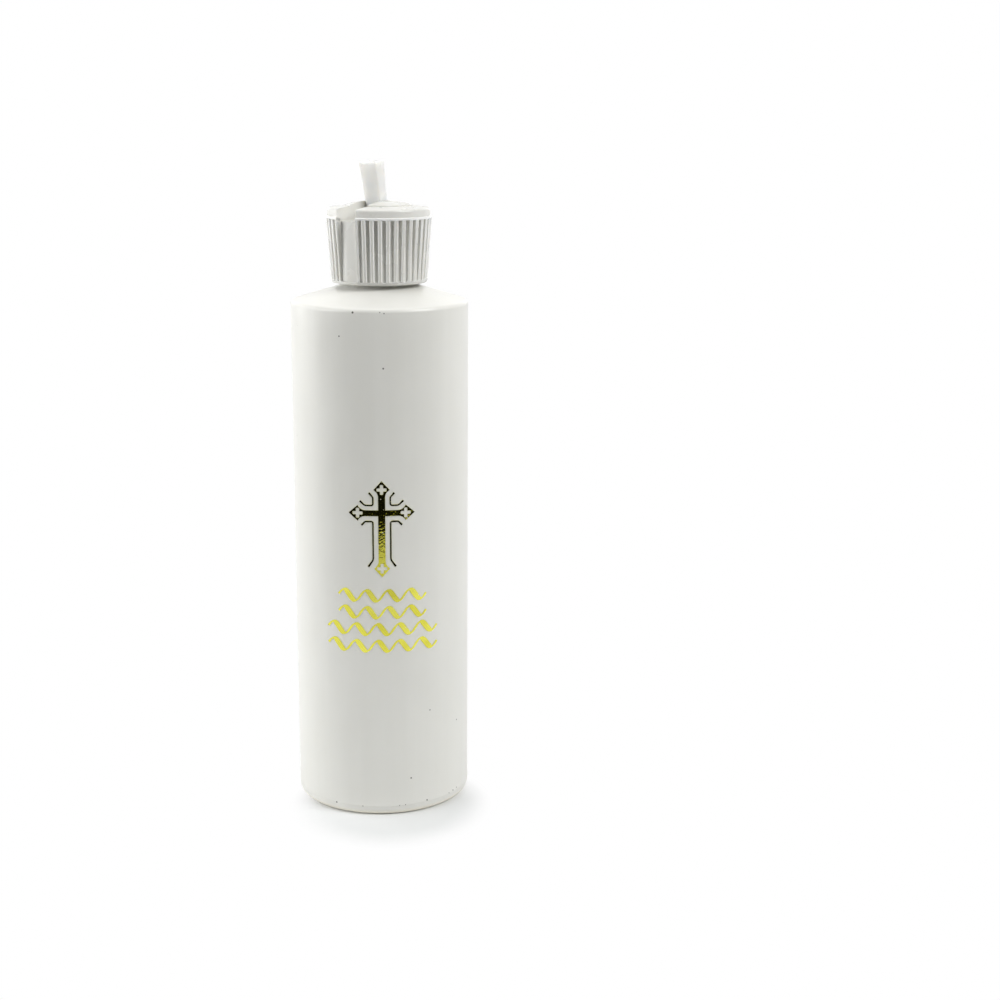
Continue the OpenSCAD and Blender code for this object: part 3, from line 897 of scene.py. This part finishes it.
def paint_rib_highlights(material):
    """Lightens the colour of the rib edges and of the rim above them: a painted highlight along the edges.
    """
    net = Net(material.node_tree)
    x, y, z = net.split(net.place())
    lap = net.math("DIVIDE", net.minus(net.math("ARCTAN2", y, x), CHANNEL_TURN), pitch)
    off_middle = net.math("ABSOLUTE", net.minus(net.math("FRACT", lap), 0.5))
    spread = (RIB_R_TOP - RIB_R_LOW) / (LEDGE - RIB_LOW)
    crest = net.plus(net.times(net.minus(z, RIB_LOW * MM), spread), RIB_R_LOW * MM)
    below_crest = net.minus(crest, net.slant(x, y))
    near_crest = net.ramp(below_crest, CREST_FULL * MM, CREST_GONE * MM, 1.0, 0.0)
    rim = net.ramp(z, (RIB_HIGH - RIM_HALF) * MM, (RIB_HIGH + RIM_HALF) * MM)
    near_edge = net.math("MAXIMUM", net.ramp(off_middle, EDGE_FROM, EDGE_FULL), rim)
    above_foot = net.ramp(z, RIB_LOW * MM, (RIB_LOW + FOOT_FADE) * MM)
    # The rib edges and the rim get a lighter colour here: a painted highlight.
    painted_highlight = net.times(net.times(near_crest, near_edge), above_foot)
    tint = material.node_tree.nodes["Principled BSDF"].inputs["Base Color"]
    net.feed(tint, net.blend(painted_highlight, tint.links[0].from_socket, EDGE_HIGHLIGHT_PAINT))


# Paints the highlight on the rib edges into the cap's colour.
paint_rib_highlights(cap_white)
print("rib edges highlighted on", cap_white.name)

# %% [markdown]
# The cap
# The plain cap is turned from its outline, with one long recess where the grooves are and a fine groove
# round its domed disc. The channel for the folded spout, the seat of its drum, the pin holes, the thumb
# notch, the feed hole and the hollows under the deck could be modelled face by face. They are cut out
# with boolean modifiers, which is how the steel of the mould makes them. The ribs and the inner thread
# are added last.


# %% Cutting tools
def prism(name, outline, low, high):
    """A straight block over an outline in X and Y."""
    return outward(place_mesh(name, lofted(name, [[(x, y, z) for x, y in outline] for z in (low, high)])))


def rod(name, start, end, radius, sides=48, end_radius=None):
    """A round bar, or a cone, between two points."""
    line = Vector(end) - Vector(start)
    turn = line.to_track_quat("Z", "Y").to_matrix().to_4x4()
    shape = {"radius1": radius * MM, "radius2": (end_radius or radius) * MM, "depth": line.length * MM}
    shape["matrix"] = Matrix.Translation((Vector(start) + Vector(end)) / 2 * MM) @ turn
    work = bmesh.new()
    bmesh.ops.create_cone(work, cap_ends=True, segments=sides, **shape)
    return worked(name, work)


def axle(name, x, z, half, radius, sides=48):
    """A round bar across the channel."""
    return rod(name, (x, -half, z), (x, half, z), radius, sides)


def cut(piece, operation, tools):
    """Joins or cuts a piece with the tools and removes them."""
    for tool in tools:
        modifier = piece.modifiers.new(tool.name, "BOOLEAN")
        modifier.operation = operation
        modifier.solver = "EXACT"
        modifier.object = tool
    settle(piece)
    for tool in tools:
        bpy.data.objects.remove(tool)
    return piece


def turned_to_channel(piece):
    """Swings a mesh that was drawn along +X to the channel's direction."""
    piece.data.transform(Matrix.Rotation(CHANNEL_TURN, 4, "Z"))
    return piece


print("cutting tools ready")

# %% Turned cap
ball = (DISC_R**2 + (DOME - DISC) ** 2) / (2 * (DOME - DISC))
dome_radii = [DISC_R * (1 - i / 10) for i in range(11)]
cap_outline = [
    (0.0, DECK, 0),
    (CAP_WALL_R, DECK, 0.3),
    (CAP_WALL_R, SKIRT + 0.5, 0.2),
    (CAP_WALL_R + 0.4, SKIRT, 0.15),
    (RIB_R_LOW - 0.25, SKIRT, 0.25),
    (RIB_R_LOW, CONE_LOW, 0.3),
    (skirt_r(RIB_LOW), RIB_LOW, 0.1),
    (skirt_r(RIB_LOW) - groove_deep(RIB_LOW), RIB_LOW + 0.05, 0.15),
    (skirt_r(RIB_HIGH) - groove_deep(RIB_HIGH), RIB_HIGH - 0.05, 0.15),
    (skirt_r(RIB_HIGH), RIB_HIGH, 0.1),
    (RIB_R_TOP, LEDGE - 0.1, 0.08),
    (RIB_R_TOP - 0.1, LEDGE, 0.04),
    (BAND_R, LEDGE, 0.1),
    (BAND_R, BAND, 0.7),
    (DISC_R + 0.5, CROWN, 0.1),
    (DISC_R + 0.35, CROWN - 0.25, 0.05),
    (DISC_R + 0.08, CROWN - 0.25, 0.05),
    (DISC_R + 0.05, DISC - 0.05, 0.05),
    *[(r, DOME - ball + math.sqrt(ball**2 - r**2), 0) for r in dome_radii],
]
moulding = {"Columns": 200, "Crowding": 0.0, "Seam width": 1.0, "Finish": cap_white}
core = outward(grow("core", outline_mesh("cap_outline", rounded(cap_outline, steps=5)), turning, moulding))
print("turned cap", len(core.data.polygons), "faces")

# %% Cuts for the spout
SPOUT_W, SPOUT_T, SPOUT_L, SPOUT_FLARE, DRUM_R, PIVOT_AT = 5.2, 3.3, 13.8, 1.0, 2.1, 1.0
PIN_R, PIN_L, PIN_HOLE_R, PIN_HOLE_L = 0.8, 0.9, 0.85, 1.0
ROOM, FOOT_ROOM, SEAT_ROOM, FLOOR_DIP = 0.3, 0.12, 0.1, 2.0
CHANNEL_PAST, SEAT_FRONT, CUT_HIGH, CUT_PAST = 4.0, 1.0, 20.0, 1.0
SPOUT_BACK = -DRUM_R + 0.05
OUTLET_AT, OUTLET_R = SPOUT_BACK + SPOUT_T / 2, 1.0


def cap_tools():
    """What is cut from the cap for the spout, drawn along +X."""
    half = SPOUT_W / 2
    foot = half + FOOT_ROOM
    far = BAND_R + CHANNEL_PAST - PIVOT_AT
    far_half = half + ROOM + SPOUT_FLARE / 2 * far / (BAND_R - PIVOT_AT)
    channel = prism("channel", [(0, -foot), (far, -far_half), (far, far_half), (0, foot)], 0, CUT_HIGH)
    dip = Matrix.Rotation(math.radians(FLOOR_DIP), 4, "Y")
    channel.data.transform(Matrix.Translation(Vector((PIVOT_AT, 0, FLOOR)) * MM) @ dip)
    back, front = PIVOT_AT - DRUM_R - ROOM, PIVOT_AT + SEAT_FRONT
    behind = [(back, -foot), (front, -foot), (front, foot), (back, foot)]
    feed_at = PIVOT_AT + OUTLET_AT
    return [
        channel,
        prism("seat_back", behind, PIVOT, PIVOT + CUT_HIGH),
        axle("seat", PIVOT_AT, PIVOT, half + SEAT_ROOM, DRUM_R + SEAT_ROOM, 64),
        axle("pin_holes", PIVOT_AT, PIVOT, half + PIN_HOLE_L, PIN_HOLE_R),
        rod("feed", (feed_at, 0, DECK - CUT_PAST), (feed_at, 0, PIVOT), OUTLET_R),
    ]


print("channel half width", SPOUT_W / 2 + FOOT_ROOM, "at the pivot")

# %% Notch, side ribs and pockets
NOTCH_R, NOTCH_HALF, NOTCH_PAST = 13.0, 3.0, 18.8
POCKET_R, POCKET_WALL, POCKET_ROOF = 8.4, 1.9, 1.3


def notch():
    """The thumb notch: its back follows the skirt's round."""
    half = math.asin(NOTCH_HALF / NOTCH_R)
    arc = [half * (i / 8 - 1) for i in range(17)]
    outline = [(NOTCH_R * math.cos(a), NOTCH_R * math.sin(a)) for a in arc]
    outline += [(NOTCH_PAST, NOTCH_HALF), (NOTCH_PAST, -NOTCH_HALF)]
    return prism("notch", outline, RIB_LOW, FLOOR + CUT_PAST)


def side_rib(side):
    """The rib beside the notch, narrower than the others, with the channel cut from its top."""
    middle_r = (RIB_R_LOW + RIB_R_TOP) / 2
    trim = ((NOTCH_HALF - GROOVE_W / 2) / middle_r - pitch) / 2
    piece = outward(place_mesh(f"side_rib{side}", rib_strip("side_rib", pitch / 2 - trim)))
    piece.data.transform(Matrix.Rotation(side * (1.5 * pitch + trim), 4, "Z"))
    return turned_to_channel(cut(piece, "DIFFERENCE", cap_tools()))


def pocket(side):
    """One of the two hollows under the deck."""
    start = math.asin((SPOUT_W / 2 + ROOM + POCKET_WALL) / POCKET_R)
    arc = [start + (math.pi - 2 * start) * i / 24 for i in range(25)]
    outline = [(POCKET_R * math.cos(a), side * POCKET_R * math.sin(a)) for a in arc]
    return prism(f"pocket{side}", outline, DECK - CUT_PAST, CROWN - POCKET_ROOF)


print("notch half width", NOTCH_HALF, "pocket radius", POCKET_R)

# %% Cap
cut(core, "DIFFERENCE", cap_tools() + [notch(), pocket(1), pocket(-1)])
cap = joined("cap_body", [turned_to_channel(core), side_rib(1), side_rib(-1), ribs, cap_thread], cap_white)

# %% [markdown]
# The spout
# The spout is a small tapered tube with lightly rounded edges. A tapered block with a Bevel modifier
# comes close, but its edges would all be alike. So rings of points are lofted from the pivot to the tip,
# and the last rings draw in, which rounds the rim. The drum, its two pins and the passage are joined and
# cut with booleans. It leans a little towards the channel.

# %% Spout tube
TIP_W, TIP_T, TIP_BACK = SPOUT_W + SPOUT_FLARE, SPOUT_T + 0.75, SPOUT_BACK + 0.25
RIM, RIM_TURNS = 0.25, (0.0, 0.4, 0.8, 1.2, 1.57)
BACK_EDGE, FRONT_EDGE = 0.4, 0.5
levels = [(SPOUT_L * i / 10, 0.0) for i in range(10)]
levels += [(SPOUT_L - RIM * (1 - math.sin(a)), RIM * (1 - math.cos(a))) for a in RIM_TURNS]
rings = []
for at, drawn_in in levels:
    t = at / SPOUT_L
    wide = SPOUT_W + (TIP_W - SPOUT_W) * t - 2 * drawn_in
    front = SPOUT_BACK + SPOUT_T + (TIP_BACK + TIP_T - SPOUT_BACK - SPOUT_T) * t - drawn_in
    back = SPOUT_BACK + (TIP_BACK - SPOUT_BACK) * t + drawn_in
    back_edge, front_edge = BACK_EDGE - drawn_in / 2, FRONT_EDGE - drawn_in / 2
    corners = [
        (back, -wide / 2, back_edge),
        (front, -wide / 2, front_edge),
        (front, wide / 2, front_edge),
        (back, wide / 2, back_edge),
    ]
    rings.append([(x, y, at) for x, y in rounded(corners, steps=6)])
tube = outward(place_mesh("spout_tube", lofted("spout_tube", rings)))
print("spout tube", len(rings), "rings of", len(rings[0]))

# %% Spout
LEAN = math.radians(8)
MOUTH_IN, MOUTH_OUT, MOUTH_WIDER, MOUTH_INSIDE = 0.3, 0.1, 0.35, 0.02
drum = axle("drum", 0, 0, SPOUT_W / 2, DRUM_R, 72)
pins = axle("pins", 0, 0, SPOUT_W / 2 + PIN_L, PIN_R)
cut(tube, "UNION", [drum, pins])
passage = rod("passage", (OUTLET_AT, 0, -DRUM_R - CUT_PAST), (OUTLET_AT, 0, SPOUT_L + CUT_PAST), OUTLET_R)
mouth_low = (OUTLET_AT, 0, SPOUT_L - MOUTH_IN)
mouth_high = (OUTLET_AT, 0, SPOUT_L + MOUTH_OUT)
mouth = rod("mouth", mouth_low, mouth_high, OUTLET_R - MOUTH_INSIDE, end_radius=OUTLET_R + MOUTH_WIDER)
cut(tube, "DIFFERENCE", [passage, mouth])
upright = Matrix.Translation(Vector((PIVOT_AT, 0, PIVOT)) * MM) @ Matrix.Rotation(LEAN, 4, "Y")
tube.data.transform(upright)
spout = joined("spout_body", [turned_to_channel(tube)], spout_white)

# %% [markdown]
# Riding on the frame
# Each new piece stands for its CAD solid and moves with the same body, and the CAD solid is hidden.
# Parenting by hand would lose the joints, so the frame's own calls say it.

# %% Bodies and hand-over
for piece, node, body, slot in (
    (bottle, "bottle", "bottle", "bottle_plastic"),
    (cap, "cap", "cap", "cap_plastic"),
    (spout, "spout", "spout", "spout_plastic"),
):
    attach(piece, body)
    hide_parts(node)
